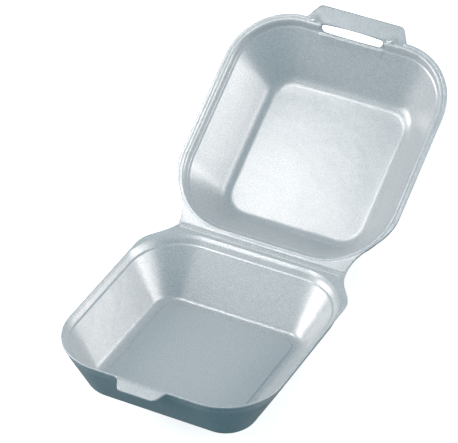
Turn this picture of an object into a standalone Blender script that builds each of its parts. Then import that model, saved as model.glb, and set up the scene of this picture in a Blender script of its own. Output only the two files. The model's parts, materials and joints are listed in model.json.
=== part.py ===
"""Hinged foam food box, moulded in one piece and left standing open.

A tray and a lid hang together along a pressed crease. Each half is a thin dish: a flat rim, a steep
step down to a narrow ledge, sloping walls and a flat bottom. Each half is drawn mouth up in its own
frame, with x along the crease, y away from it and z up out of the dish. Then it is turned about the
crease into place.
Lengths are in metres.
"""
import math
from collections import namedtuple

import bmesh
import bpy
import numpy as np
from mathutils import Matrix, Vector

# Opening and fit
OPEN_ANGLE = math.radians(148.0)
CREASE_GAP = 0.0003

# Foam
RIM_THICKNESS = 0.0013
EDGE_ROUND = 0.0004

# Crease and hinge strip
HINGE_HALF_LENGTH = 0.0475
CREASE_BAND = 0.0023
CREASE_BAND_DEPTH = 0.0004
PRESSED_LINE_DEPTH = 0.0002
PRESSED_LINE_WIDTH = 0.0005

# Tray, plan sizes at the rim
TRAY_HALF_WIDTH = 0.0590
TRAY_REACH = 0.1198
TRAY_CORNER = 0.0300
TRAY_REAR_CORNER = 0.0290
TRAY_EAR_START = 0.0230
TRAY_EAR_FULLNESS = 0.0095
TRAY_NOTCH = (0.0510, 0.0115)
TRAY_RIM_WIDTH = 0.0017
TRAY_REAR_RIM = 0.0070

# Tray, plan sizes at the floor
TRAY_DEPTH = 0.0244
TRAY_BOTTOM_DEPTH = 0.0279
TRAY_FLOOR_HALF_WIDTH = 0.0408
TRAY_FLOOR_REAR = 0.0276
TRAY_FLOOR_FRONT = 0.1040
TRAY_FLOOR_CORNER = 0.0105
TRAY_BASE_GROWTH = 0.0034
FLOOR_PANEL_INSET = 0.0038
FLOOR_PANEL_SLOPE = 0.0008
FLOOR_PANEL_RISE = 0.0004

# Lid, plan sizes at the rim
LID_HALF_WIDTH = 0.0623
LID_REACH = 0.1274
LID_CORNER = 0.0335
LID_REAR_CORNER = 0.0340
LID_SHOULDER_START = 0.0370
LID_SHOULDER_FULLNESS = 0.0170
LID_NOTCH = (0.0470, 0.0160)
LID_RIM_WIDTH = 0.0039
LID_REAR_RIM = 0.0040

# Lid, plan sizes at the panel
LID_DEPTH = 0.0229
LID_TOP_DEPTH = 0.0262
LID_PANEL_HALF_WIDTH = 0.0399
LID_PANEL_REAR = 0.0204
LID_PANEL_FRONT = 0.1001
LID_PANEL_CORNER = 0.0125
LID_TOP_GROWTH = 0.0029

# Step and ledge under both rims
STEP_DEPTH = 0.0034
STEP_INSET = 0.0015
LEDGE_WIDTH = 0.0010
LEDGE_DROP = 0.0005
WALL_THICKNESS_AT_RIM = 0.0015
WALL_SHOULDER_DEPTH = 0.0052
TRAY_RIM_ROUND = 0.0011
LID_RIM_ROUND = 0.0016
LEDGE_ROUND = 0.0004
SHOULDER_ROUND = 0.0008
FLOOR_ROUND = 0.0022
BASE_ROUND = 0.0034
FLAT_INSET = 0.0080

# The lock stands a little to one side of the middle
LOCK_SHIFT = -0.0013

# Locking tongue on the tray
TONGUE_LENGTH = 0.0059
TONGUE_ROOT_HALF = 0.0133
TONGUE_TIP_HALF = 0.0103
TONGUE_CORNER = 0.0028
TONGUE_THICKNESS = 0.0011
TONGUE_DROOP = math.radians(25.0)
TONGUE_BITE = 0.0016

# Grip tab on the lid
TAB_LENGTH = 0.0083
TAB_ROOT_HALF = 0.0285
TAB_TIP_HALF = 0.0238
TAB_CORNER = 0.0030
TAB_RISE = 0.0003
TAB_BITE = 0.0009

# Lock slot in the lid, bowed along both sides, with a knuckle beyond each end
SLOT_HALF_LENGTH = 0.0181
SLOT_WIDTH = 0.0035
SLOT_BOW = 0.0015
SLOT_BOW_REACH = 0.0150
SLOT_DEPTH = 0.0085
SLOT_CORNER = 0.0012
SLOT_RIM_LEFT = 0.0019
KNUCKLE_HALF_SPACING = 0.0205
KNUCKLE_SIZE = Vector((0.0026, 0.0017, 0.0011))

# Smoothness
CORNER_STEPS = 12
BLEND_STEPS = 3
TOOL_STEPS = 6
KNUCKLE_SEGMENTS = 16
SHARP_ANGLE = math.radians(30.0)
HALVINGS = 40

FOAM_COLOUR = (0.47, 0.52, 0.56, 1.0)
FOAM_ROUGHNESS = 0.42

RIM_TOP = -CREASE_GAP / 2
RIM_UNDERSIDE = RIM_TOP - RIM_THICKNESS

Ring = namedtuple("Ring", "half near far near_radius far_radius depth")
Outline = namedtuple("Outline", "half far corner start fullness notch")


def clear_scene():
    for obj in list(bpy.data.objects):
        bpy.data.objects.remove(obj, do_unlink=True)


def foam_material(name):
    material = bpy.data.materials.new(name)
    material.use_nodes = True
    shader = material.node_tree.nodes["Principled BSDF"]
    shader.inputs["Base Color"].default_value = FOAM_COLOUR
    shader.inputs["Roughness"].default_value = FOAM_ROUGHNESS
    shader.inputs["Metallic"].default_value = 0.0
    return material


def arc(centre_x, centre_y, radius, first_degrees):
    """A quarter turn of points, anticlockwise from the given direction."""
    angles = [math.radians(first_degrees + 90 * i / CORNER_STEPS) for i in range(CORNER_STEPS + 1)]
    return [(centre_x + radius * math.cos(a), centre_y + radius * math.sin(a)) for a in angles]


def cubic(a, b, c, d):
    """Points along a cubic curve from a to d, pulled towards b and c."""
    points = []
    for i in range(CORNER_STEPS + 1):
        t = i / CORNER_STEPS
        weights = ((1 - t) ** 3, 3 * t * (1 - t) ** 2, 3 * t * t * (1 - t), t ** 3)
        x = sum(w * p[0] for w, p in zip(weights, (a, b, c, d)))
        y = sum(w * p[1] for w, p in zip(weights, (a, b, c, d)))
        points.append((x, y))
    return points


def mirrored(points):
    return [(-x, y) for x, y in reversed(points)]


def ring_points(ring):
    """A rounded rectangle at one depth, anticlockwise seen from the mouth."""
    far = arc(ring.half - ring.far_radius, ring.far - ring.far_radius, ring.far_radius, 0)
    near = arc(ring.half - ring.near_radius, ring.near + ring.near_radius, ring.near_radius, 270)
    return far + mirrored(far) + mirrored(near) + near


def outline_points(outline, inset):
    """The cut edge of a half: two round front corners, and two shoulders that run to the crease."""
    half = outline.half - inset
    corner = outline.corner - inset
    far = arc(half - corner, outline.far - inset - corner, corner, 0)
    crease_y = CREASE_GAP / 2 + inset
    hinge_end = HINGE_HALF_LENGTH - inset
    notch_x, notch_y = outline.notch
    shoulder = cubic((hinge_end, crease_y), (notch_x - inset, notch_y),
                     (half, outline.start - outline.fullness), (half, outline.start))
    return far + mirrored(far) + mirrored(shoulder) + shoulder


def mix(a, b, t):
    return Ring(*(u + (v - u) * t for u, v in zip(a, b)))


def travel(a, b):
    return math.hypot(a.half - b.half, a.depth - b.depth)


def rounded_section(keys, rounds):
    """Rings down a section, with each inner key ring replaced by a round of the given reach."""
    rings = [keys[0]]
    for before, key, after, reach in zip(keys, keys[1:], keys[2:], rounds):
        start = mix(key, before, min(0.5, reach / travel(key, before)))
        end = mix(key, after, min(0.5, reach / travel(key, after)))
        for i in range(BLEND_STEPS + 1):
            t = i / BLEND_STEPS
            rings.append(mix(mix(start, key, t), mix(key, end, t), t))
    rings.append(keys[-1])
    return rings


def grown(ring, growth, depth):
    """The same ring moved outwards by growth and set to another depth."""
    return Ring(ring.half + growth, ring.near - growth, ring.far + growth,
                ring.near_radius + growth, ring.far_radius + growth, depth)


def mesh_object(name, bm):
    bmesh.ops.recalc_face_normals(bm, faces=bm.faces)
    mesh = bpy.data.meshes.new(name)
    bm.to_mesh(mesh)
    bm.free()
    obj = bpy.data.objects.new(name, mesh)
    bpy.context.scene.collection.objects.link(obj)
    return obj


def skin(name, loops):
    """A closed solid through a list of point loops of equal length, capped at both ends."""
    bm = bmesh.new()
    rows = [[bm.verts.new(point) for point in loop] for loop in loops]
    for row, following in zip(rows, rows[1:]):
        for i in range(len(row)):
            j = (i + 1) % len(row)
            bm.faces.new((row[i], row[j], following[j], following[i]))
    bm.faces.new(rows[0])
    bm.faces.new(rows[-1])
    return mesh_object(name, bm)


def edge_loops(outline):
    """The cut edge from the rim's top to its underside, slightly rounded."""
    levels = ((EDGE_ROUND, RIM_TOP), (0.0, RIM_TOP - EDGE_ROUND),
              (0.0, RIM_UNDERSIDE + EDGE_ROUND), (EDGE_ROUND, RIM_UNDERSIDE))
    return [[(x, y, z) for x, y in outline_points(outline, inset)] for inset, z in levels]


def section_loops(rings):
    return [[(x, y, -ring.depth) for x, y in ring_points(ring)] for ring in rings]


def dish(name, outline, inside, outside):
    """One half: the inside from its bottom up to the rim, round the cut edge and down the outside."""
    loops = section_loops(reversed(inside)) + edge_loops(outline) + section_loops(outside)
    return skin(name, loops)


def rim_edge(outline, rim_width, rear_rim, near_radius):
    """The ring where the flat rim turns down into the dish."""
    return Ring(outline.half - rim_width, rear_rim, outline.far - rim_width,
                near_radius, outline.corner - rim_width, -RIM_TOP)


def inner_section(rim, rim_round, bottom_keys, bottom_rounds):
    """Flat rim, step, ledge and wall down to the given bottom rings, all rounded."""
    flat = grown(rim, rim_round, rim.depth)
    foot = grown(rim, -STEP_INSET, STEP_DEPTH)
    ledge = grown(foot, -LEDGE_WIDTH, STEP_DEPTH + LEDGE_DROP)
    keys = [flat, rim, foot, ledge] + bottom_keys
    return rounded_section(keys, (rim_round, LEDGE_ROUND, LEDGE_ROUND) + bottom_rounds)


def outer_section(rim, bottom):
    """Under the rim, the outer shoulder at the ledge's level, and the outer bottom edge."""
    root = grown(rim, WALL_THICKNESS_AT_RIM, -RIM_UNDERSIDE)
    shoulder = grown(rim, WALL_THICKNESS_AT_RIM - STEP_INSET, WALL_SHOULDER_DEPTH)
    middle = grown(bottom, -FLAT_INSET, bottom.depth)
    return rounded_section([root, shoulder, bottom, middle], (SHOULDER_ROUND, BASE_ROUND))


def make_tray():
    outline = Outline(TRAY_HALF_WIDTH, TRAY_REACH, TRAY_CORNER,
                      TRAY_EAR_START, TRAY_EAR_FULLNESS, TRAY_NOTCH)
    rim = rim_edge(outline, TRAY_RIM_WIDTH, TRAY_REAR_RIM, TRAY_REAR_CORNER)
    floor = Ring(TRAY_FLOOR_HALF_WIDTH, TRAY_FLOOR_REAR, TRAY_FLOOR_FRONT,
                 TRAY_FLOOR_CORNER, TRAY_FLOOR_CORNER, TRAY_DEPTH)
    channel = grown(floor, -FLOOR_PANEL_INSET, TRAY_DEPTH)
    panel = grown(channel, -FLOOR_PANEL_SLOPE, TRAY_DEPTH - FLOOR_PANEL_RISE)
    inside = inner_section(rim, TRAY_RIM_ROUND, [floor, channel, panel], (FLOOR_ROUND, EDGE_ROUND))
    bottom = grown(floor, TRAY_BASE_GROWTH, TRAY_BOTTOM_DEPTH)
    return dish("tray", outline, inside, outer_section(rim, bottom))


def make_lid():
    outline = Outline(LID_HALF_WIDTH, LID_REACH, LID_CORNER,
                      LID_SHOULDER_START, LID_SHOULDER_FULLNESS, LID_NOTCH)
    rim = rim_edge(outline, LID_RIM_WIDTH, LID_REAR_RIM, LID_REAR_CORNER)
    panel = Ring(LID_PANEL_HALF_WIDTH, LID_PANEL_REAR, LID_PANEL_FRONT,
                 LID_PANEL_CORNER, LID_PANEL_CORNER, LID_DEPTH)
    middle = grown(panel, -FLAT_INSET, LID_DEPTH)
    inside = inner_section(rim, LID_RIM_ROUND, [panel, middle], (FLOOR_ROUND,))
    top = grown(panel, LID_TOP_GROWTH, LID_TOP_DEPTH)
    return dish("lid", outline, inside, outer_section(rim, top))


def rounded_polygon(corners, radii):
    """A polygon with each corner of nonzero radius replaced by a curve of that reach."""
    points = []
    for i, (corner, radius) in enumerate(zip(corners, radii)):
        here = Vector(corner)
        if radius == 0:
            points.append(tuple(here))
            continue
        back = (Vector(corners[i - 1]) - here).normalized() * radius
        ahead = (Vector(corners[(i + 1) % len(corners)]) - here).normalized() * radius
        for k in range(TOOL_STEPS + 1):
            t = k / TOOL_STEPS
            points.append(tuple(here + back * (1 - t) ** 2 + ahead * t ** 2))
    return points


def plate(name, outline, bottom, top):
    """A flat plate of the given outline between two heights."""
    return skin(name, [[(x, y, z) for x, y in outline] for z in (bottom, top)])


def as_tool(tool, shell, operation):
    """Joins a helper shape to a half, or cuts it away, with a Boolean that stays live."""
    tool.parent = shell
    tool.hide_render = True
    tool.display_type = 'WIRE'
    modifier = shell.modifiers.new(tool.name, 'BOOLEAN')
    modifier.operation = operation
    modifier.solver = 'EXACT'
    modifier.object = tool


def add_tongue(tray):
    """The tray's locking tongue, a rounded plate that droops from the front rim."""
    corners = [(-TONGUE_ROOT_HALF, -TONGUE_BITE), (TONGUE_ROOT_HALF, -TONGUE_BITE),
               (TONGUE_ROOT_HALF, 0), (TONGUE_TIP_HALF, TONGUE_LENGTH),
               (-TONGUE_TIP_HALF, TONGUE_LENGTH), (-TONGUE_ROOT_HALF, 0)]
    outline = rounded_polygon(corners, (0, 0, 0, TONGUE_CORNER, TONGUE_CORNER, 0))
    tongue = plate("tongue", outline, -TONGUE_THICKNESS / 2, TONGUE_THICKNESS / 2)
    root = (-LOCK_SHIFT, TRAY_REACH, (RIM_TOP + RIM_UNDERSIDE) / 2)
    place = Matrix.Translation(root) @ Matrix.Rotation(-TONGUE_DROOP, 4, 'X')
    tongue.data.transform(place)
    as_tool(tongue, tray, 'UNION')
    return tongue


def add_tab(lid):
    """The lid's grip tab, a tapered plate in line with the front rim."""
    root = LID_REACH - TAB_BITE
    tip = LID_REACH + TAB_LENGTH
    corners = [(-TAB_ROOT_HALF, root), (TAB_ROOT_HALF, root), (TAB_TIP_HALF, tip), (-TAB_TIP_HALF, tip)]
    outline = rounded_polygon(corners, (0, 0, TAB_CORNER, TAB_CORNER))
    tab = plate("tab", outline, RIM_UNDERSIDE + TAB_RISE, RIM_TOP + TAB_RISE)
    as_tool(tab, lid, 'UNION')
    return tab


def add_knuckles(lid):
    """A small mound at each side of the tab's root, where the rim's step runs out."""
    for name, side in (("knuckle_left", -1), ("knuckle_right", 1)):
        place = Matrix.Translation((LOCK_SHIFT + side * KNUCKLE_HALF_SPACING, LID_REACH, RIM_TOP))
        bm = bmesh.new()
        bmesh.ops.create_uvsphere(bm, u_segments=KNUCKLE_SEGMENTS, v_segments=KNUCKLE_SEGMENTS // 2,
                                  radius=1.0, matrix=place @ Matrix.Diagonal(KNUCKLE_SIZE).to_4x4())
        as_tool(mesh_object(name, bm), lid, 'UNION')


def cut_slot(lid):
    """The lock slot, cut down through the rim and the step and out through the wall below.

    Each long side runs to a corner in its middle, and a wide rounding makes a bow of it.
    """
    front = LID_REACH - SLOT_RIM_LEFT
    rear = front - SLOT_WIDTH
    left = LOCK_SHIFT - SLOT_HALF_LENGTH
    right = LOCK_SHIFT + SLOT_HALF_LENGTH
    corners = [(left, rear), (LOCK_SHIFT, rear - SLOT_BOW), (right, rear),
               (right, front), (LOCK_SHIFT, front + SLOT_BOW), (left, front)]
    outline = rounded_polygon(corners, [SLOT_CORNER, SLOT_BOW_REACH, SLOT_CORNER] * 2)
    as_tool(plate("slot_cutter", outline, -SLOT_DEPTH, SLOT_DEPTH), lid, 'DIFFERENCE')


def press_crease(shell):
    """Thins the foam beside the crease, with one fine pressed line along the thinned band."""
    low = RIM_TOP - CREASE_BAND_DEPTH
    line = CREASE_BAND / 2
    profile = [(-CREASE_BAND, CREASE_BAND_DEPTH), (-CREASE_BAND, low),
               (line - PRESSED_LINE_WIDTH, low), (line, low - PRESSED_LINE_DEPTH),
               (line + PRESSED_LINE_WIDTH, low), (CREASE_BAND - CREASE_BAND_DEPTH, low),
               (CREASE_BAND + CREASE_BAND_DEPTH, CREASE_BAND_DEPTH)]
    reach = HINGE_HALF_LENGTH + CREASE_BAND
    loops = [[(x, y, z) for y, z in profile] for x in (-reach, reach)]
    as_tool(skin(shell.name + "_crease_cutter", loops), shell, 'DIFFERENCE')


def side_view(obj):
    """The (y, z) of an object's points in its half's own frame."""
    return np.array([(v.co.y, v.co.z) for v in obj.data.vertices])


def turned(points, turn):
    """Points in the side view after a turn that lifts the far side."""
    sine = math.sin(turn)
    cosine = math.cos(turn)
    return points @ np.array([[cosine, sine], [-sine, cosine]])


def resting_turn(tray, lid):
    """Turn of the tray's mouth up from level at which both halves touch the same flat surface."""
    spread = math.pi - OPEN_ANGLE
    low = 0.0
    high = spread
    for _ in range(HALVINGS):
        middle = (low + high) / 2
        if turned(tray, middle)[:, 1].min() < turned(lid, spread - middle)[:, 1].min():
            low = middle
        else:
            high = middle
    return (low + high) / 2


def stand_up(crease, tray_pieces, lid_pieces):
    """Turns both halves about the crease and sets the crease so that they stand on the ground.

    The origin ends up on the ground, under the middle of the whole.
    """
    tray = np.vstack([side_view(piece) for piece in tray_pieces])
    lid = np.vstack([side_view(piece) for piece in lid_pieces])
    tray_turn = resting_turn(tray, lid)
    lid_turn = math.pi - OPEN_ANGLE - tray_turn
    tray_pieces[0].rotation_euler = (tray_turn, 0.0, math.pi)
    lid_pieces[0].rotation_euler = (lid_turn, 0.0, 0.0)
    standing_tray = turned(tray, tray_turn)
    front = -standing_tray[:, 0].max()
    back = turned(lid, lid_turn)[:, 0].max()
    crease.location = (0.0, -(front + back) / 2, -standing_tray[:, 1].min())


def shade(shell):
    shell.data.materials.append(foam_material(shell.name + "_foam"))
    shell.data.shade_smooth()
    shell.data.set_sharp_from_angle(angle=SHARP_ANGLE)


def main():
    clear_scene()
    crease = bpy.data.objects.new("crease", None)
    bpy.context.scene.collection.objects.link(crease)
    tray = make_tray()
    lid = make_lid()
    tray.parent = crease
    lid.parent = crease
    tongue = add_tongue(tray)
    tab = add_tab(lid)
    add_knuckles(lid)
    cut_slot(lid)
    press_crease(tray)
    press_crease(lid)
    stand_up(crease, (tray, tongue), (lid, tab))
    shade(tray)
    shade(lid)


main()
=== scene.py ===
# %% [markdown]
# A hinged foam food box, dressed for its picture
#
# The solid model already says where everything is and how big it is. This lesson makes the surface
# that the camera sees: one sheet of moulded foam, with its rolled rims, its thin bright edges, the
# pressed lines beside the fold and the fine grain of its skin.

# %% Load the solid model
import json
import math
from collections import namedtuple

import bmesh
import bpy
import numpy as np
from mathutils import Matrix, Vector


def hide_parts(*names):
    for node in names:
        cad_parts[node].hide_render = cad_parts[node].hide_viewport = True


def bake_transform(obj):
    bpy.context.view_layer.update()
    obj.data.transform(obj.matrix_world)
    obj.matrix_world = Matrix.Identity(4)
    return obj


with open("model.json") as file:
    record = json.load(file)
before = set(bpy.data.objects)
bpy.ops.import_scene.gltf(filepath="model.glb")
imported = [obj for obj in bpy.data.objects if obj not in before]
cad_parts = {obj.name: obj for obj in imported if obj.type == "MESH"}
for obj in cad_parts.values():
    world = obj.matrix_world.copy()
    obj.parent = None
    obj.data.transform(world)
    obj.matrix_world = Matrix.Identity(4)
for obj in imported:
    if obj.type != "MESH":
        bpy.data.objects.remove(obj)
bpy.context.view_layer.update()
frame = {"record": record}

record = frame["record"]


def mm(length):
    """A length in metres as millimetres, rounded for print."""
    return round(1000 * float(length), 1)


# %% [markdown]
# Where the two halves lean
#
# The open box stands on the two bottom edges beside its fold, like a shallow V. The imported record
# holds the fold's place and the slant of the two flat outer faces. Reading the slants from there,
# and not typing them again, keeps this surface on the solids when the pose of the box changes.

# %% Slants and the fold's place
hinge = record["behaviour"]["joints"][0]
crease = np.array(hinge["pos_m"])
faces = {mount["name"]: mount["axis"] for mount in record["mounts"]}
TRAY_TURN = math.atan2(-faces["tray_underside"][1], -faces["tray_underside"][2])
LID_TURN = math.atan2(faces["lid_top"][1], -faces["lid_top"][2])
print("tray leans", round(math.degrees(TRAY_TURN), 2), "lid leans", round(math.degrees(LID_TURN), 2))

# %% [markdown]
# Sizes
#
# Each half is drawn lying flat, mouth up: x along the fold, y away from it and z up. All lengths are
# in metres. A dish like this could be sculpted, or cut from a block, but the mould that pressed the
# real one is a stack of rounded rectangles, so six numbers for each level describe it best: half
# width, near edge, far edge, near and far corner radius, and depth. A half also has its cut outline
# (half width, far edge, corner, and where its rear shoulder starts, how full it is and where it is
# notched), its flap, its rolled rim and the skirt under it.

# %% Ring sizes
Ring = namedtuple("Ring", "half near far near_radius far_radius depth")
Half = namedtuple("Half", "name turn side half far corner start fullness notch "
                          "flap rim roll skirt bottom base")
Flap = namedtuple("Flap", "root tip length corner shift")
Roll = namedtuple("Roll", "reach rear drop round")

FOAM = 0.0013
BROW_SHARE = 0.8
EDGE_ROUND = 0.0004
RIM_TOP = -0.00015
RIM_UNDERSIDE = RIM_TOP - FOAM
HINGE_HALF = 0.0475

STEP_DEPTH = 0.0034
STEP_INSET = 0.0015
LEDGE_WIDTH = 0.0010
LEDGE_DROP = 0.0005
LEDGE_ROUND = 0.0004
WALL_AT_RIM = 0.0015
SHOULDER_DEPTH = 0.0052
FLOOR_ROUND = 0.0024
PANEL_ROUND = 0.0036
BASE_ROUND = 0.0034
HEART = 0.0015
LOCK_SHIFT = -0.0013


def grown(ring, growth, depth):
    """The ring pushed outwards by growth, at another depth."""
    return Ring(ring.half + growth, ring.near - growth, ring.far + growth,
                ring.near_radius + growth, ring.far_radius + growth, depth)


def heart(ring):
    """A small ring in the middle of a flat bottom, where the rows of the surface come together."""
    middle = (ring.near + ring.far) / 2
    return Ring(HEART, middle - HEART, middle + HEART, HEART / 2, HEART / 2, ring.depth)


def tray_half():
    """The tray's sizes, with its locking tongue as the flap."""
    rim = Ring(0.0573, 0.0060, 0.1181, 0.0290, 0.0283, -RIM_TOP)
    floor = Ring(0.0408, 0.0276, 0.1040, 0.0105, 0.0105, 0.0244)
    channel = grown(floor, -0.0038, 0.0244)
    panel = grown(channel, -0.0008, 0.0240)
    tongue = Flap(root=0.0133, tip=0.0103, length=0.0069, corner=0.0028, shift=-LOCK_SHIFT)
    return Half(name="tray", turn=TRAY_TURN, side=-1, half=0.0590, far=0.1198, corner=0.0300,
                start=0.0230, fullness=0.0095, notch=(0.0510, 0.0115), flap=tongue, rim=rim,
                roll=Roll(reach=0.0010, rear=0.0027, drop=0.0013, round=0.0004),
                skirt=(0.0009, 0.0001),
                bottom=[(floor, FLOOR_ROUND), (channel, EDGE_ROUND), (panel, EDGE_ROUND)],
                base=grown(floor, 0.0034, 0.0279))


def lid_half():
    """The lid's sizes, with its grip tab as the flap."""
    rim = Ring(0.0584, 0.0040, 0.1235, 0.0340, 0.0296, -RIM_TOP)
    panel = Ring(0.0399, 0.0204, 0.1001, 0.0125, 0.0125, 0.0229)
    tab = Flap(root=0.0285, tip=0.0238, length=0.0083, corner=0.0022, shift=0.0)
    return Half(name="lid", turn=LID_TURN, side=1, half=0.0623, far=0.1274, corner=0.0335,
                start=0.0370, fullness=0.0170, notch=(0.0470, 0.0160), flap=tab, rim=rim,
                roll=Roll(reach=0.0016, rear=0.0011, drop=0.0, round=0.0016),
                skirt=(0.0015, 0.0008), bottom=[(panel, PANEL_ROUND)],
                base=grown(panel, 0.0029, 0.0262))


tray, lid = tray_half(), lid_half()
print("tray", mm(2 * tray.half), "mm wide, lid", mm(2 * lid.half), "mm wide")

# %% [markdown]
# Columns: one way round for every ring
#
# The same columns run through all rings, so that a column is one line from the middle of the floor
# up the wall and over the rim. A column is stored as three numbers: which way across its corner's
# centre lies, the angle of the corner at which it stands, and how far back it is: 0 at the far
# corners, 1 at the near ones, and a share between them along the straight sides. One formula then
# gives every point of every ring. A fourth mark tells the columns that end on the fold. The straight
# front run, TRAY_FRONT or LID_FRONT to each side of the middle, gets its stations listed one by one,
# closer together where the flap's corners and the slot's ends lie.

# %% Columns round a half
ARC_COLUMNS = 20
SIDE_COLUMNS = 18
SHOULDER_COLUMNS = 20
FOLD_CORNER_COLUMNS = 8
FOLD_COLUMNS = 36
TRAY_FRONT = 0.0290
LID_FRONT = 0.0288


def run(*stops):
    """Numbers from stop to stop; stops are value, count, value, count, ... value."""
    legs = zip(stops[0::2], stops[1::2], stops[2::2])
    return np.concatenate([np.linspace(a, b, n, endpoint=False) for a, n, b in legs] + [[stops[-1]]])


def near_centre(half):
    """The centre of the rim's near right corner."""
    return half.rim.half - half.rim.near_radius, half.rim.near + half.rim.near_radius


def columns_round(half, front):
    """Across, angle, back and fold mark for each column, anticlockwise seen from the mouth.

    front holds the stations along the front run as shares from 1 at the right to -1 at the left.
    """
    centre_x, centre_y = near_centre(half)
    fold_angle = math.atan2(centre_y, HINGE_HALF - centre_x)
    quarter = np.radians(np.linspace(0, 90, ARC_COLUMNS + 1))
    side = np.linspace(0, 1, SIDE_COLUMNS + 1)[1:-1]
    shoulder = np.linspace(0, fold_angle, SHOULDER_COLUMNS, endpoint=False)
    bend = np.linspace(fold_angle, np.pi / 2, FOLD_CORNER_COLUMNS, endpoint=False)
    rear = np.linspace(-1, 1, FOLD_COLUMNS + 1)
    pieces = [(1, quarter[:-1], 0, 0), (front, np.pi / 2, 0, 0), (-1, quarter[1:] + np.pi / 2, 0, 0),
              (-1, np.pi, side, 0), (-1, np.pi + shoulder, 1, 0), (-1, np.pi + bend, 1, 1),
              (rear, 1.5 * np.pi, 1, 1), (1, 2 * np.pi - bend[::-1], 1, 1),
              (1, 2 * np.pi - shoulder[::-1], 1, 0), (1, 0, side[::-1], 0)]
    runs = [np.broadcast_arrays(*[np.atleast_1d(np.asarray(v, float)) for v in p]) for p in pieces]
    across, angle, back, fold = [np.concatenate(parts) for parts in zip(*runs)]
    return across, angle, back, fold == 1


def ring_points(rings, columns):
    """Points of rings at columns, as rows by columns by x, y, z.

    The corner's centre lies across times (half - radius) from the middle, and radius in from the far
    or near edge; the point is that centre plus radius times (cosine, sine) of the column's angle.
    """
    half, near, far, near_radius, far_radius, depth = np.array(rings).T[:, :, None]
    across, angle, back = columns[:3]
    radius = far_radius * (1 - back) + near_radius * back
    x = across * (half - radius) + radius * np.cos(angle)
    y = (far - far_radius) * (1 - back) + (near + near_radius) * back + radius * np.sin(angle)
    return np.stack([x, y, np.broadcast_to(-depth, x.shape)], axis=2)


tray_stations = run(TRAY_FRONT, 6, 0.0176, 27, 0.0064, 6, -0.0038, 27, -0.0150, 7,
                    -TRAY_FRONT) / TRAY_FRONT
lid_stations = run(LID_FRONT, 1, 0.0285, 12, 0.0225, 18, 0.0168, 9, 0.0149, 34, -0.0184, 6,
                   -0.0194, 18, -0.0250, 8, -0.0285, 1, -LID_FRONT) / LID_FRONT
tray_columns = columns_round(tray, tray_stations)
lid_columns = columns_round(lid, lid_stations)
print(len(tray_columns[0]), "columns round the tray,", len(lid_columns[0]), "round the lid")

# %% [markdown]
# Rows: the section from the rim down to the floor
#
# Seen from the side, the inside is a chain of straight runs with rounded corners between them. Real
# foam has no sharp inner corner, and the roundings are what catches the light in the picture: inside,
# each gets eight rows of its own. A rounded corner here is a curve pulled towards the corner it
# replaces, worked out on the six ring numbers at once. The inside runs over the rolled rim, down a
# steep step to a narrow ledge, and down the wall to the floor. The outside follows at about the
# foam's thickness but skips the ledge, because foam between two moulds fills such small steps.

# %% Rounded sections
BEND_ROWS = 8
OUTER_BEND_ROWS = 6
ROLL_ROWS = [0, 2, 3, 2]
WALL_ROWS = 24
PANEL_STEP_ROWS = 2
FLOOR_ROWS = 9
OUTER_ROWS = [0, 3, 8, 6]


def mix(a, b, t):
    """Between rings a and b, for one share t or for a column of shares."""
    return np.array(a) + (np.array(b) - np.array(a)) * t


def reach_share(key, other, reach):
    """The share of the way from key to other that a rounding of this reach takes up."""
    return min(1, reach / math.hypot(key.half - other.half, key.depth - other.depth))


def section(keys, reaches, runs, bend_rows):
    """Rings down a section: straight runs of the given row counts, with rounded corners between.

    With s from 0 to 1 over a corner, a row is the mix by s of two mixes by s: from the corner's start
    to the sharp corner, and from there to its end. A corner takes at most what the corner before it
    has left of the run between them.
    """
    rows = []
    start, taken = np.array(keys[0]), 0
    shares = np.linspace(0, 1, bend_rows, endpoint=False)[:, None]
    for before, key, after, reach, count in zip(keys, keys[1:], keys[2:], reaches, runs):
        share = min(reach_share(key, before, reach), 1 - taken)
        count = count if share + taken < 1 else 0
        into = mix(key, before, share)
        taken = reach_share(key, after, reach)
        out = mix(key, after, taken)
        rows.append(mix(start, into, np.linspace(0, 1, count, endpoint=False)[:, None]))
        rows.append(mix(mix(into, key, shares), mix(key, out, shares), shares))
        start = out
    rows.append(mix(start, keys[-1], np.linspace(0, 1, runs[-1])[:, None]))
    return np.vstack(rows)


def inner_rings(half):
    """Rings from the flat rim over the roll and the ledge to the middle of the floor.

    The roll has a reach of its own at the fold: longer than elsewhere on the tray, shorter on the lid.
    """
    roll = half.roll
    flat = grown(half.rim, roll.reach, half.rim.depth)._replace(near=half.rim.near - roll.rear)
    brow = flat._replace(half=mix(half.rim.half, flat.half, BROW_SHARE),
                         near=mix(half.rim.near, flat.near, BROW_SHARE),
                         far=mix(half.rim.far, flat.far, BROW_SHARE))
    low = grown(half.rim, 0, half.rim.depth + roll.drop)
    foot = grown(half.rim, -STEP_INSET, STEP_DEPTH)
    ledge = grown(foot, -LEDGE_WIDTH, STEP_DEPTH + LEDGE_DROP)
    bottom = [ring for ring, _ in half.bottom]
    keys = [flat, brow, low, foot, ledge] + bottom + [heart(bottom[-1])]
    reaches = [flat.half - brow.half, roll.round, LEDGE_ROUND, LEDGE_ROUND]
    reaches += [reach for _, reach in half.bottom]
    runs = ROLL_ROWS + [WALL_ROWS] + [PANEL_STEP_ROWS] * (len(bottom) - 1) + [FLOOR_ROWS]
    return section(keys, reaches, runs, BEND_ROWS)


def outer_rings(half):
    """Rings from under the rim down the outer wall to the middle of the outer bottom."""
    growth, fillet = half.skirt
    root = grown(half.rim, growth, -RIM_UNDERSIDE)
    flat = grown(root, fillet, -RIM_UNDERSIDE)
    shoulder = grown(half.rim, WALL_AT_RIM - STEP_INSET, SHOULDER_DEPTH)
    keys = [flat, root, shoulder, half.base, heart(half.base)]
    return section(keys, [fillet, WALL_AT_RIM, BASE_ROUND], OUTER_ROWS, OUTER_BEND_ROWS)


print(len(inner_rings(tray)), "rings inside the tray,", len(outer_rings(tray)), "outside")

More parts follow.
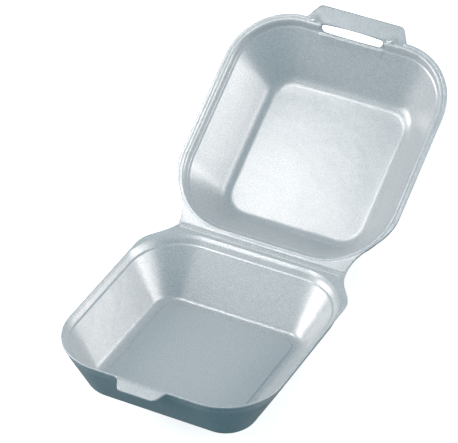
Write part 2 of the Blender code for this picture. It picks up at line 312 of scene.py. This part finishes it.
# %% [markdown]
# The cut edge
#
# After moulding, the sheet is cut out along one outline. At the front it runs straight, or out round
# a flap: the tray's locking tongue, the lid's grip tab. At the back a curved shoulder brings it in to
# the end of the fold. An outline drawn as a free spline would drift from the rim, so each column gets
# its own point of the outline, and the flat rim is what lies between.

# %% Outline of a half
FLAP_BEND_POINTS = 7
LONGEST_SHARE = 0.45
SHOULDER_POINTS = 240
EDGE_ANGLES = np.radians([0, 30, 60, 90])


def smooth_path(points, reach):
    """A path through points, with its inner corners rounded by curves of the given reach.

    A curve has the weights (1-s)^2, 2s(1-s) and s^2 for its start, the sharp corner and its end.
    """
    path = [points[:1]]
    shares = np.linspace(0, 1, FLAP_BEND_POINTS)[:, None]
    for before, here, after in zip(points, points[1:], points[2:]):
        into = here + (before - here) * min(LONGEST_SHARE, reach / np.linalg.norm(before - here))
        out = here + (after - here) * min(LONGEST_SHARE, reach / np.linalg.norm(after - here))
        path.append(into * (1 - shares) ** 2 + 2 * here * shares * (1 - shares) + out * shares ** 2)
    return np.vstack(path + [points[-1:]])


def along(path, shares):
    """Points at the given shares of a path's length."""
    length = np.concatenate([[0], np.cumsum(np.linalg.norm(np.diff(path, axis=0), axis=1))])
    return np.stack([np.interp(shares * length[-1], length, path[:, k]) for k in range(2)], axis=-1)


def flap_edge(half, x):
    """The front edge over stations x: straight, then out round the flap with rounded corners."""
    flap = half.flap
    x = x - flap.shift
    flat = flap.tip - 2 * flap.corner
    end = min(flap.root + flap.corner, half.half - half.corner)
    side = smooth_path(np.array([(flat, half.far + flap.length), (flap.tip, half.far + flap.length),
                                 (flap.root, half.far), (end, half.far)]), flap.corner)
    edge = along(side, np.clip((np.abs(x) - flat) / (end - flat), 0, 1))
    on_flap = (np.abs(x) >= flat) & (np.abs(x) <= end)
    edge[:, 0] = np.where(on_flap, edge[:, 0], np.abs(x)) * np.sign(x) + flap.shift
    return edge


def shoulder_edge(half, angle):
    """Where rays at an angle below the rim's near corner centre meet the side and the shoulder.

    The shoulder is a cubic curve whose four weights are (1-t)^3, 3t(1-t)^2, 3t^2(1-t) and t^3.
    """
    centre_x, centre_y = near_centre(half)
    t = np.linspace(0, 1, SHOULDER_POINTS)[:, None]
    weights = np.hstack([(1 - t) ** 3, 3 * t * (1 - t) ** 2, 3 * t * t * (1 - t), t ** 3])
    curve = weights @ np.array([(half.half, half.start), (half.half, half.start - half.fullness),
                                half.notch, (HINGE_HALF, 0)])
    path = np.vstack([[(half.half, max(centre_y, half.start + EDGE_ROUND))], curve])
    seen = np.arctan2(centre_y - path[:, 1], path[:, 0] - centre_x)
    return np.stack([np.interp(angle, seen, path[:, k]) for k in range(2)], axis=1)


def outline(half, columns):
    """The cut edge at each column, as x and y."""
    across, angle, back, fold = columns
    spine = half.half - half.corner
    edge = np.stack([across * spine + half.corner * np.cos(angle),
                     half.far - half.corner + half.corner * np.sin(angle)], axis=1)
    front = (angle == np.pi / 2) & (back == 0)
    edge[front] = flap_edge(half, across[front] * spine)
    sides = (back > 0) & (back < 1)
    edge[sides, 1] += back[sides] * (near_centre(half)[1] - (half.far - half.corner))
    near = (back == 1) & ~fold
    left = across[near] < 0
    edge[near] = shoulder_edge(half, np.where(left, angle[near] - np.pi, 2 * np.pi - angle[near]))
    edge[near, 0] *= across[near]
    on_fold = np.linspace(-HINGE_HALF, HINGE_HALF, fold.sum())
    edge[fold] = np.stack([on_fold, np.zeros(len(on_fold))], axis=1)
    return edge


def inset(edge, distance, fold):
    """The outline moved inwards by a distance, with its points on the fold kept on the fold."""
    ahead = np.roll(edge, -1, axis=0) - np.roll(edge, 1, axis=0)
    normal = np.stack([-ahead[:, 1], ahead[:, 0]], axis=1)
    normal /= np.linalg.norm(normal, axis=1, keepdims=True)
    moved = edge + normal * distance
    moved[fold] = edge[fold] * (1 - distance / HINGE_HALF)
    return moved


def edge_rows(edge, fold):
    """The cut edge from the rim's top to its underside, each corner a quarter circle in section.

    At an angle a of the quarter circle the row lies round * (1 - sin a) in from the outline and
    round * (1 - cos a) from the face.
    """
    inward = EDGE_ROUND * (1 - np.sin(EDGE_ANGLES))
    down = EDGE_ROUND * (1 - np.cos(EDGE_ANGLES))
    steps = list(zip(inward, RIM_TOP - down)) + list(zip(inward, RIM_UNDERSIDE + down))[::-1]
    return np.stack([np.column_stack([inset(edge, d, fold), np.full(len(edge), z)]) for d, z in steps])


lid_edge = outline(lid, lid_columns)
print("the lid's outline reaches", mm(lid_edge[:, 1].max()), "mm from the fold")

# %% [markdown]
# Small forms pressed into the sheet
#
# On the tray's side of the fold the foam is pressed thinner and thinner down to a groove that isn't
# quite parallel to the fold. Fine lines from the mould run along both sides: one on the fold itself
# and one a little away from it on each half. Round the lid, a hair-thin groove parts the flat rim
# from its roll. The tongue droops from the tray's front. The grip tab lies a little lower than the
# rim, and the border between them waves: at each end of the slot the rim swells into a small knuckle.
# Sculpting or a Boolean for each would leave stretched faces. Each form is a short formula that moves
# points of the grid instead, so none of them needs faces of its own.

# %% Relief, droop and the tab's root
BAND_DEPTH = 0.00060
BAND_END = 0.0026
BAND_SKEW = -0.0006
BAND_RISE = 0.0008
LINE_DEPTH = 0.00030
LINE_WIDTH = 0.00028
TRAY_LINES = (0, 0.50)
LID_LINES = (0, 0.28)
BEAD_REACH = 0.0005
BEAD_DEPTH = 0.00012
BEAD_WIDTH = 0.00025
DROOP = math.radians(12)
DROOP_RUN = 0.0012
TAB_DROP = 0.00050
TAB_SLOPE = 0.0006
RIM_BORDER = 0.1257
KNUCKLE_ACROSS = 0.0223
KNUCKLE_SIZE = (0.0018, 0.0018, 0.0010)
CORNER_ACROSS = 0.0262


def smooth(t):
    """0 below 0, 1 above 1, and t * t * (3 - 2t) between."""
    t = np.clip(t, 0, 1)
    return t * t * (3 - 2 * t)


def press_beside_fold(points, deepest, lines):
    """Thins the rim near the fold.

    The depth grows in a straight line from 0 at the fold to the deepest at the groove and goes back
    to 0 over a short rise; bell-shaped lines stand at fixed shares of the way, the first on the fold.
    """
    x, y = points[..., 0], np.abs(points[..., 1])
    end = BAND_END + BAND_SKEW * x / HINGE_HALF
    depth = deepest * np.clip(y / end, 0, 1) * (1 - smooth((y - end) / BAND_RISE))
    for line in lines:
        depth += LINE_DEPTH * np.exp(-((y - line * end) / LINE_WIDTH) ** 2)
    above = points[..., 2] - RIM_UNDERSIDE
    points[..., 2] = RIM_UNDERSIDE + above * (1 - depth / FOAM)


def groove_by_roll(points, rim):
    """Sinks a bell-shaped groove at a fixed distance outside the row where the roll starts."""
    reach = np.linalg.norm((points - rim)[..., :2], axis=2)
    points[..., 2] -= BEAD_DEPTH * np.exp(-((reach - BEAD_REACH) / BEAD_WIDTH) ** 2)


def droop_tongue(points, start):
    """Bends what lies beyond y = start down round an arc, then straight on at the droop's angle."""
    past = points[..., 1] - start
    arc = np.clip(past / DROOP_RUN, 0, 1) * DROOP
    rest = np.clip(past - DROOP_RUN, 0, None)
    radius = DROOP_RUN / DROOP
    level = (RIM_TOP + RIM_UNDERSIDE) / 2
    off = points[..., 2] - level
    y = start + radius * np.sin(arc) + rest * np.cos(DROOP) + off * np.sin(arc)
    z = level - radius * (1 - np.cos(arc)) - rest * np.sin(DROOP) + off * np.cos(arc)
    points[..., 1] = np.where(past > 0, y, points[..., 1])
    points[..., 2] = np.where(past > 0, z, points[..., 2])


def shape_tab_root(points):
    """Lowers the tab beyond a waved border and raises a knuckle at each end of the slot.

    The border is a straight line with a bell at each knuckle, and it moves outwards near the tab's
    corners. A knuckle is a bell across times a bell outwards.
    """
    x, y = points[..., 0], points[..., 1]
    wide, out, high = KNUCKLE_SIZE
    bell = np.exp(-((np.abs(x - LOCK_SHIFT) - KNUCKLE_ACROSS) / wide) ** 2)
    border = RIM_BORDER + out * bell + 2 * out * smooth((np.abs(x) - CORNER_ACROSS) / wide)
    points[..., 2] -= TAB_DROP * smooth((y - border) / TAB_SLOPE)
    points[..., 2] += high * bell * np.exp(-((y - RIM_BORDER - out / 3) / out) ** 2)


print("the tab lies", mm(TAB_DROP), "mm below the rim")

# %% [markdown]
# The skins of one half
#
# The inner skin runs from the cut edge over the rim to the middle of the floor, and the outer skin
# from the cut edge to the middle of the bottom. At the fold both skins end in the upright plane that
# halves the bend, so that the two halves of the box meet there without a gap.

# %% Skins of a half
RIM_ROWS = 34
RIM_CROWDING = 1.35
UNDER_ROWS = 10


def between(first, last, count, power):
    """Rows from first up to, but without, last; closer together near first for a power above 1."""
    share = (np.linspace(0, 1, count, endpoint=False) ** power)[:, None, None]
    return first + (last - first) * share


def skins(half, columns):
    """Inner skin, cut edge and outer skin of a half, each as rows by columns by x, y, z."""
    fold = columns[3]
    lip = edge_rows(outline(half, columns), fold)
    inside = ring_points(inner_rings(half), columns)
    outside = ring_points(outer_rings(half), columns)
    top = between(lip[0], inside[0], RIM_ROWS, RIM_CROWDING)
    under = between(lip[-1], outside[0], UNDER_ROWS, 1)
    if half.name == "lid":
        groove_by_roll(top, inside[0])
        shape_tab_root(top)
        for part in (top, lip):
            press_beside_fold(part, 0, LID_LINES)
    else:
        for part in (top, lip, under):
            droop_tongue(part, half.far)
        for part in (top, lip, inside):
            press_beside_fold(part, BAND_DEPTH, TRAY_LINES)
    for row in [top[0], under[0]] + list(lip):
        row[fold, 1] = row[fold, 2] * math.tan(half.turn)
    return np.concatenate([top, inside]), lip[1:-1], np.concatenate([under, outside])


tray_skins = skins(tray, tray_columns)
lid_skins = skins(lid, lid_columns)
print("rows of the lid: inner, edge, outer", [len(part) for part in lid_skins])

# %% [markdown]
# The lock slot
#
# The slot is cut down through the rim and the step. A Boolean would cut it too, but it leaves long
# thin faces that shade badly on a rolled surface. Here the rows of the grid slide along their own
# columns until two of them lie on the slot's long edges, then the faces between those two rows go,
# and walls join the upper skin to the lower one.

# %% Slide rows onto the slot
SLOT_HALF = 0.0181
SLOT_LEFT = LOCK_SHIFT - SLOT_HALF
SLOT_RIGHT = LOCK_SHIFT + SLOT_HALF
SLOT_FRONT = 0.1255
SLOT_REAR = 0.1224
SLOT_BOW = 0.0009
SLOT_REAR_BOW = 0.0002
SLOT_ROUND_LEFT = 0.0015
SLOT_ROUND_RIGHT = 0.0026
SLOT_SLANT = 0.0010
SLIDE_ROWS = 8
SHELF_WIDTH = 0.0004
SHELF_RUN = 0.0030
SHELF_END = 0.0030
TINY = 1e-6


def slot_edges(x):
    """The slot's front and rear edge at stations x.

    Each is bowed by (1 - u^2), with u from -1 to 1 over its length, and drawn in by a quarter circle
    at each end.
    """
    bow = 1 - ((x - LOCK_SHIFT) / SLOT_HALF) ** 2
    left = np.clip(1 - (x - SLOT_LEFT) / SLOT_ROUND_LEFT, 0, 1)
    right = np.clip(1 - (SLOT_RIGHT - x) / SLOT_ROUND_RIGHT, 0, 1)
    drawn = (SLOT_ROUND_LEFT * (1 - np.sqrt(1 - left ** 2))
             + SLOT_ROUND_RIGHT * (1 - np.sqrt(1 - right ** 2)))
    return SLOT_FRONT + SLOT_BOW * bow - drawn, SLOT_REAR - SLOT_REAR_BOW * bow + drawn


def widen_shelf(skin):
    """Levels the ledge below the slot and widens it to a small shelf.

    Its inner edge moves up by the ledge's drop and inwards; below, the move fades in a straight line.
    """
    x, deep = skin[..., 0], -skin[..., 2] - STEP_DEPTH
    ends = smooth((x - SLOT_LEFT) / SHELF_END + 0.5) * smooth((SLOT_RIGHT - x) / SHELF_END + 0.5)
    down = np.clip(deep / LEDGE_DROP, 0, 1) * (1 - np.clip((deep - LEDGE_DROP) / SHELF_RUN, 0, 1))
    share = ends * down * (skin[..., 1] > SLOT_FRONT / 2)
    skin[..., 1] -= SHELF_WIDTH * share
    skin[..., 2] += LEDGE_DROP * share


def slide(column, front_row, rear_row, front, rear):
    """Slides one column's rows along it, so that the two given rows lie at the two given y."""
    last = rear_row + SLIDE_ROWS
    length = np.concatenate([[0], np.cumsum(np.linalg.norm(np.diff(column, axis=0), axis=1))])
    at = np.interp([-front, -rear], -column[:, 1], length)
    marks = length[[0, front_row, rear_row, last]]
    fresh = np.interp(length[:last + 1], marks, [0, at[0], at[1], length[last]])
    column[:last + 1] = np.stack([np.interp(fresh, length, column[:, k]) for k in range(3)], axis=1)


def slide_to_slot(skin, stations, slant):
    """Slides the rows of the slot's columns and returns the front and the rear row."""
    middle = skin[:, stations[len(stations) // 2]]
    front_row = int(np.argmax(middle[:, 1] < SLOT_FRONT + SLOT_BOW))
    rear_row = int(np.argmax(middle[:, 1] < SLOT_REAR + slant))
    for c in stations:
        front, rear = slot_edges(skin[0, c, 0])
        slide(skin[:, c], front_row, rear_row, front, rear + slant)
    return front_row, rear_row


lid_x = lid_skins[0][0, :, 0]
on_front = (lid_columns[1] == np.pi / 2) & (lid_columns[2] == 0)
slot_columns = np.nonzero(on_front & (lid_x > SLOT_LEFT - TINY) & (lid_x < SLOT_RIGHT + TINY))[0]
widen_shelf(lid_skins[0])
slot_inner = slide_to_slot(lid_skins[0], slot_columns, 0)
slot_outer = slide_to_slot(lid_skins[2], slot_columns, SLOT_SLANT)
print("slot rows inside", slot_inner, "outside", slot_outer, "over", len(slot_columns), "columns")

# %% [markdown]
# Faces of one half
#
# The grid of a half starts in the middle of the inner floor, climbs to the rim, rolls over the cut
# edge and comes back under to the middle of the outer bottom. Cells are left out at the fold, where
# the other half goes on, and in the lid's slot. Bridging the loops one by one would do the same
# job, but with numbers worked out for the whole grid at once there is less to go wrong.

# %% Faces
def grid_faces(inner, lip, outer, fold, slot=None):
    """Points of a half in one list, and its faces as lists of point numbers.

    Cell (r, c) joins rows r and r + 1 and columns c and c + 1, the last column to the first.
    """
    grid = np.concatenate([inner[::-1], lip, outer])
    rows, count = grid.shape[:2]
    top_row, under_row = len(inner) - 1, len(inner) + len(lip)
    keep = np.ones((rows - 1, count), bool)
    keep[top_row:under_row] &= ~(fold & np.roll(fold, -1))
    walls = []
    if slot:
        stations, above, below = slot
        first, last = stations[0], stations[-1]
        keep[top_row - above[1]:top_row - above[0], first:last] = False
        keep[under_row + below[0]:under_row + below[1], first:last] = False
        for k in range(2):
            upper = (top_row - above[k]) * count + stations
            lower = (under_row + below[k]) * count + stations
            walls += np.stack([upper[:-1], upper[1:], lower[1:], lower[:-1]], axis=1).tolist()
        for c in (first, last):
            down = (top_row - np.arange(above[0], above[1] + 1)) * count + c
            back_up = (under_row + np.arange(below[1], below[0] - 1, -1)) * count + c
            walls.append(down.tolist() + back_up.tolist())
    r, c = np.nonzero(keep)
    ahead = (c + 1) % count
    this_row, next_row = r * count, (r + 1) * count
    quads = np.stack([this_row + c, this_row + ahead, next_row + ahead, next_row + c], axis=1)
    ring = np.arange(count)
    poles = [np.column_stack([start + ring, start + np.roll(ring, -1), np.full(count, rows * count + k)])
             for k, start in enumerate((0, (rows - 1) * count))]
    points = np.vstack([grid.reshape(-1, 3), grid[0].mean(axis=0), grid[-1].mean(axis=0)])
    all_faces = quads.tolist() + poles[0].tolist() + poles[1].tolist() + walls
    return points, all_faces, (top_row, under_row, count)


tray_points, tray_faces, tray_grid = grid_faces(*tray_skins, tray_columns[3])
slot_cells = (slot_columns, slot_inner, slot_outer)
lid_points, lid_faces, lid_grid = grid_faces(*lid_skins, lid_columns[3], slot_cells)
print(len(tray_faces), "faces in the tray,", len(lid_faces), "in the lid")

# %% [markdown]
# One moulding
#
# Both halves are turned about the fold into place, and the points that they share there become one
# row. The box is a single sheet of foam, so it is a single closed mesh: the light then runs over the
# fold without a seam. The flat, unfolded place of every point is stored with it, because the grain
# of the skin belongs to the foam and must not swim when the lid moves.

# %% Join the halves
SHARP_ANGLE = math.radians(40)


def placed(points, half):
    """Points of a half turned about the fold and moved into place.

    y' = y cos(turn) - z sin(turn) and z' = y sin(turn) + z cos(turn); the tray is also turned half
    way round, so that its x and y change sign.
    """
    x, y, z = points.T
    away = y * math.cos(half.turn) - z * math.sin(half.turn)
    up = y * math.sin(half.turn) + z * math.cos(half.turn)
    return np.stack([half.side * x, half.side * away, up], axis=1) + crease


def fold_numbers(grid, fold):
    """Numbers of the points on the fold: both edge rows at all its columns, all rows at its ends."""
    top_row, under_row, count = grid
    stations = np.nonzero(fold)[0]
    rows = [(top_row + k) * count for k in range(under_row - top_row + 1)]
    ends = [start + stations[[0, -1]] for start in rows[1:-1]]
    return [rows[0] + stations, rows[-1] + stations] + ends


def moulding(name):
    """The whole sheet of foam as one mesh."""
    points = np.vstack([placed(tray_points, tray), placed(lid_points, lid)])
    unfolded = np.vstack([tray_points * (-1, -1, 1), lid_points])
    number = np.arange(len(points))
    shift = len(tray_points)
    tray_fold = fold_numbers(tray_grid, tray_columns[3])
    lid_fold = fold_numbers(lid_grid, lid_columns[3])
    for ours, theirs in zip(tray_fold, lid_fold):
        number[shift + theirs] = ours[::-1]
    sheets = tray_faces + [[shift + k for k in face] for face in lid_faces]
    used = np.unique(number[np.concatenate([np.array(face) for face in sheets])])
    fresh = np.zeros(len(points), int)
    fresh[used] = np.arange(len(used))
    mesh = bpy.data.meshes.new(name)
    mesh.from_pydata(points[used].tolist(), [], [fresh[number[face]].tolist() for face in sheets])
    attribute = mesh.attributes.new("unfolded", "FLOAT_VECTOR", "POINT")
    attribute.data.foreach_set("vector", unfolded[used].ravel())
    bm = bmesh.new()
    bm.from_mesh(mesh)
    bmesh.ops.recalc_face_normals(bm, faces=bm.faces)
    open_edges = sum(not edge.is_manifold for edge in bm.edges)
    volume = bm.calc_volume() * 1e6
    print(len(bm.faces), "faces,", open_edges, "open edges, volume", round(volume, 1), "cm3")
    bm.to_mesh(mesh)
    bm.free()
    mesh.shade_smooth()
    mesh.set_sharp_from_angle(angle=SHARP_ANGLE)
    piece = bpy.data.objects.new(name, mesh)
    bpy.context.scene.collection.objects.link(piece)
    return piece


box = moulding("foam_moulding")

# %% [markdown]
# Foam skin
#
# Moulded foam is satin and slightly blue. Its closed skin shows the bubbles under it as a fine grain
# of light and dark specks about half a millimetre across. A picture of real foam would tie the
# material to one box, so the grain comes from noise in the sheet's own unfolded coordinates: specks
# for colour, a shallow bump for the bubbles, and slow waves for the unevenness of the panels. The
# grain is the same all over, because one sheet has one skin.

# %% Foam material
FINE_SPECK = 0.0006
COARSE_SPECK = 0.0030
SLOW_WAVE = 0.0160
NOISE_ROUGHNESS = 0.6
NOISE_LOW, NOISE_HIGH = 0.35, 0.65
SPECK_COLOURS = [(0.51, 0.515, 0.53), (0.69, 0.69, 0.70)]
CLOUD_COLOURS = [(0.96, 0.965, 0.97), (1.0, 1.0, 1.0)]
SMOOTHEST, ROUGHEST = 0.28, 0.33
WAVE_HEIGHT = 0.00025
BUBBLE_HEIGHT = 0.00005
METALLIC = 0.20


def add_node(tree, kind, settings=(), **inputs):
    """A shader node with its settings and the values or links of its inputs."""
    node = tree.nodes.new(kind)
    for key, value in settings:
        setattr(node, key, value)
    for key, value in inputs.items():
        socket = node.inputs[key.replace("_", " ")]
        if isinstance(value, bpy.types.NodeSocket):
            tree.links.new(value, socket)
        else:
            socket.default_value = value
    return node


def specks(tree, place, size, detail):
    """Noise with blobs about as big as size."""
    noise = add_node(tree, "ShaderNodeTexNoise", Vector=place, Scale=1 / size, Detail=detail,
                     Roughness=NOISE_ROUGHNESS)
    return noise.outputs[0]


def ramp(tree, value, colours):
    """Noise from NOISE_LOW to NOISE_HIGH turned into a run from the first colour to the second."""
    node = add_node(tree, "ShaderNodeValToRGB", Fac=value)
    node.color_ramp.elements[0].position = NOISE_LOW
    node.color_ramp.elements[1].position = NOISE_HIGH
    for element, colour in zip(node.color_ramp.elements, colours):
        element.color = (*colour, 1)
    return node.outputs[0]


def foam_skin():
    """The satin foam: specks times clouds for colour, clouds for gloss, waves and bubbles as bump."""
    material = bpy.data.materials.new("foam_skin")
    material.use_nodes = True
    tree = material.node_tree
    shader = tree.nodes["Principled BSDF"]
    place = add_node(tree, "ShaderNodeAttribute", [("attribute_name", "unfolded")]).outputs["Vector"]
    fine = specks(tree, place, FINE_SPECK, detail=2)
    coarse = specks(tree, place, COARSE_SPECK, detail=3)
    slow = specks(tree, place, SLOW_WAVE, detail=2)
    grain = ramp(tree, fine, SPECK_COLOURS)
    cloud = ramp(tree, coarse, CLOUD_COLOURS)
    colour = add_node(tree, "ShaderNodeMixRGB", [("blend_type", "MULTIPLY")], Fac=1.0,
                      Color1=grain, Color2=cloud)
    tree.links.new(colour.outputs[0], shader.inputs["Base Color"])
    rough = add_node(tree, "ShaderNodeMapRange", Value=coarse, To_Min=SMOOTHEST, To_Max=ROUGHEST)
    tree.links.new(rough.outputs[0], shader.inputs["Roughness"])
    waves = add_node(tree, "ShaderNodeBump", Height=slow, Strength=1.0, Distance=WAVE_HEIGHT)
    bubbles = add_node(tree, "ShaderNodeBump", Height=fine, Strength=1.0, Distance=BUBBLE_HEIGHT,
                       Normal=waves.outputs[0])
    tree.links.new(bubbles.outputs[0], shader.inputs["Normal"])
    shader.inputs["Metallic"].default_value = METALLIC
    return material


box.data.materials.append(foam_skin())
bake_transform(box)
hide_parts("tray", "lid")
print("the moulding stands in for tray and lid")

# %% [markdown]
# A white table
#
# The box is pictured on plain white with no shadow. A white sheet that bounces light would fill the
# walls that face the viewer, which are the darkest in the picture. So the table looks white to the
# camera, with a glow of its own, and is darker to the light that bounces off it.

# %% Table
TABLE_HALF = 3
TABLE_TO_LIGHT = (0.13, 0.21, 0.24, 1)
TABLE_TO_CAMERA = (0.8, 0.8, 0.8, 1)
TABLE_GLOW = 0.7


def table_top():
    """A square on the ground whose paint differs for the camera and for all other rays."""
    mesh = bpy.data.meshes.new("table")
    corners = [(TABLE_HALF * x, TABLE_HALF * y, 0) for x, y in ((-1, -1), (1, -1), (1, 1), (-1, 1))]
    mesh.from_pydata(corners, [], [(0, 1, 2, 3)])
    material = bpy.data.materials.new("table_paint")
    material.use_nodes = True
    tree = material.node_tree
    tree.nodes.clear()
    sight = add_node(tree, "ShaderNodeLightPath").outputs["Is Camera Ray"]
    paint = add_node(tree, "ShaderNodeMixRGB", Fac=sight, Color1=TABLE_TO_LIGHT,
                     Color2=TABLE_TO_CAMERA)
    diffuse = add_node(tree, "ShaderNodeBsdfDiffuse", Color=paint.outputs[0])
    lift = add_node(tree, "ShaderNodeMath", [("operation", "MULTIPLY")])
    tree.links.new(sight, lift.inputs[0])
    lift.inputs[1].default_value = TABLE_GLOW
    glow = add_node(tree, "ShaderNodeEmission", Strength=lift.outputs[0])
    both = add_node(tree, "ShaderNodeAddShader")
    tree.links.new(diffuse.outputs[0], both.inputs[0])
    tree.links.new(glow.outputs[0], both.inputs[1])
    out = add_node(tree, "ShaderNodeOutputMaterial")
    tree.links.new(both.outputs[0], out.inputs["Surface"])
    mesh.materials.append(material)
    table = bpy.data.objects.new("table", mesh)
    bpy.context.scene.collection.objects.link(table)
    return table


table_top()

# %% [markdown]
# Soft light
#
# The real box stood in broad soft light from above, from both sides and from behind on the right,
# with little from the front. A picture of a room wrapped round the scene could light it too, but six
# square lamps can be moved one at a time until each wall has its shade. Warm lamps and a dim, cool
# room together leave the foam slightly blue in its shaded parts.

# %% Lamps and surroundings
LAMP_TINT = (1.0, 0.94, 0.90)
LAMP_AIM = Vector((0, 0, 0.02))
ROOM_TO_LIGHT = (0.20, 0.34, 0.40, 1)
ROOM_TO_CAMERA = (1, 1, 1, 1)


def lamp(name, position, size, power):
    """A square area lamp that points at the box."""
    data = bpy.data.lights.new(name, "AREA")
    data.size = size
    data.energy = power
    data.color = LAMP_TINT
    obj = bpy.data.objects.new(name, data)
    obj.location = position
    obj.rotation_euler = (Vector(position) - LAMP_AIM).to_track_quat("Z", "Y").to_euler()
    bpy.context.scene.collection.objects.link(obj)
    return obj


lamp("overhead", (-0.20, 0.04, 0.44), 0.09, 0.42)
lamp("left", (-0.77, -0.21, 0.42), 0.50, 5.2)
lamp("front_high", (-0.35, -0.45, 0.70), 0.30, 0.35)
lamp("right", (0.67, 0.18, 0.60), 0.40, 0.8)
lamp("rear_right", (0.77, 0.28, 0.36), 0.40, 2.0)
lamp("low_right", (0.70, 0.52, 0.20), 0.36, 2.2)

world = bpy.data.worlds.new("surroundings")
bpy.context.scene.world = world
world.use_nodes = True
sky = world.node_tree
sight = add_node(sky, "ShaderNodeLightPath").outputs["Is Camera Ray"]
tone = add_node(sky, "ShaderNodeMixRGB", Fac=sight, Color1=ROOM_TO_LIGHT, Color2=ROOM_TO_CAMERA)
sky.links.new(tone.outputs[0], sky.nodes["Background"].inputs["Color"])
sky.nodes["Background"].inputs["Strength"].default_value = 1.0
bpy.context.scene.view_settings.view_transform = "Standard"
print("six soft boxes and a dim, cool room")

# %% [markdown]
# The camera
#
# It looks down at about fifty degrees from the front right, turned a little, from far away: the
# fold and the rims stay almost parallel in the picture. Three directions and a place say where it
# stands, which keeps its small tilt as it is, where aiming it at a point would make it level.

# %% Camera
SENSOR_WIDTH = 36
LENS = 275.1
FARTHEST = 10
RIGHT = Vector((0.88099, 0.44903, -0.14910))
UP = Vector((-0.27187, 0.73834, 0.61720))
BACK = Vector((0.38723, -0.50321, 0.77255))
EYE = Vector((0.66459, -0.88817, 1.39160))
eye = bpy.data.cameras.new("camera")
eye.sensor_width = SENSOR_WIDTH
eye.lens = LENS
eye.clip_end = FARTHEST
camera = bpy.data.objects.new("camera", eye)
camera.matrix_world = Matrix.Translation(EYE) @ Matrix((RIGHT, UP, BACK)).transposed().to_4x4()
bpy.context.scene.collection.objects.link(camera)
bpy.context.scene.camera = camera
print("camera", [round(v, 3) for v in EYE])

# %% [markdown]
# Size against the solid model
#
# The surface should keep to the box of the solid model. The tongue reaches about a millimetre past
# it in front, and nothing else passes it by more than a few hundredths of a millimetre.

# %% Finish
bpy.context.view_layer.update()
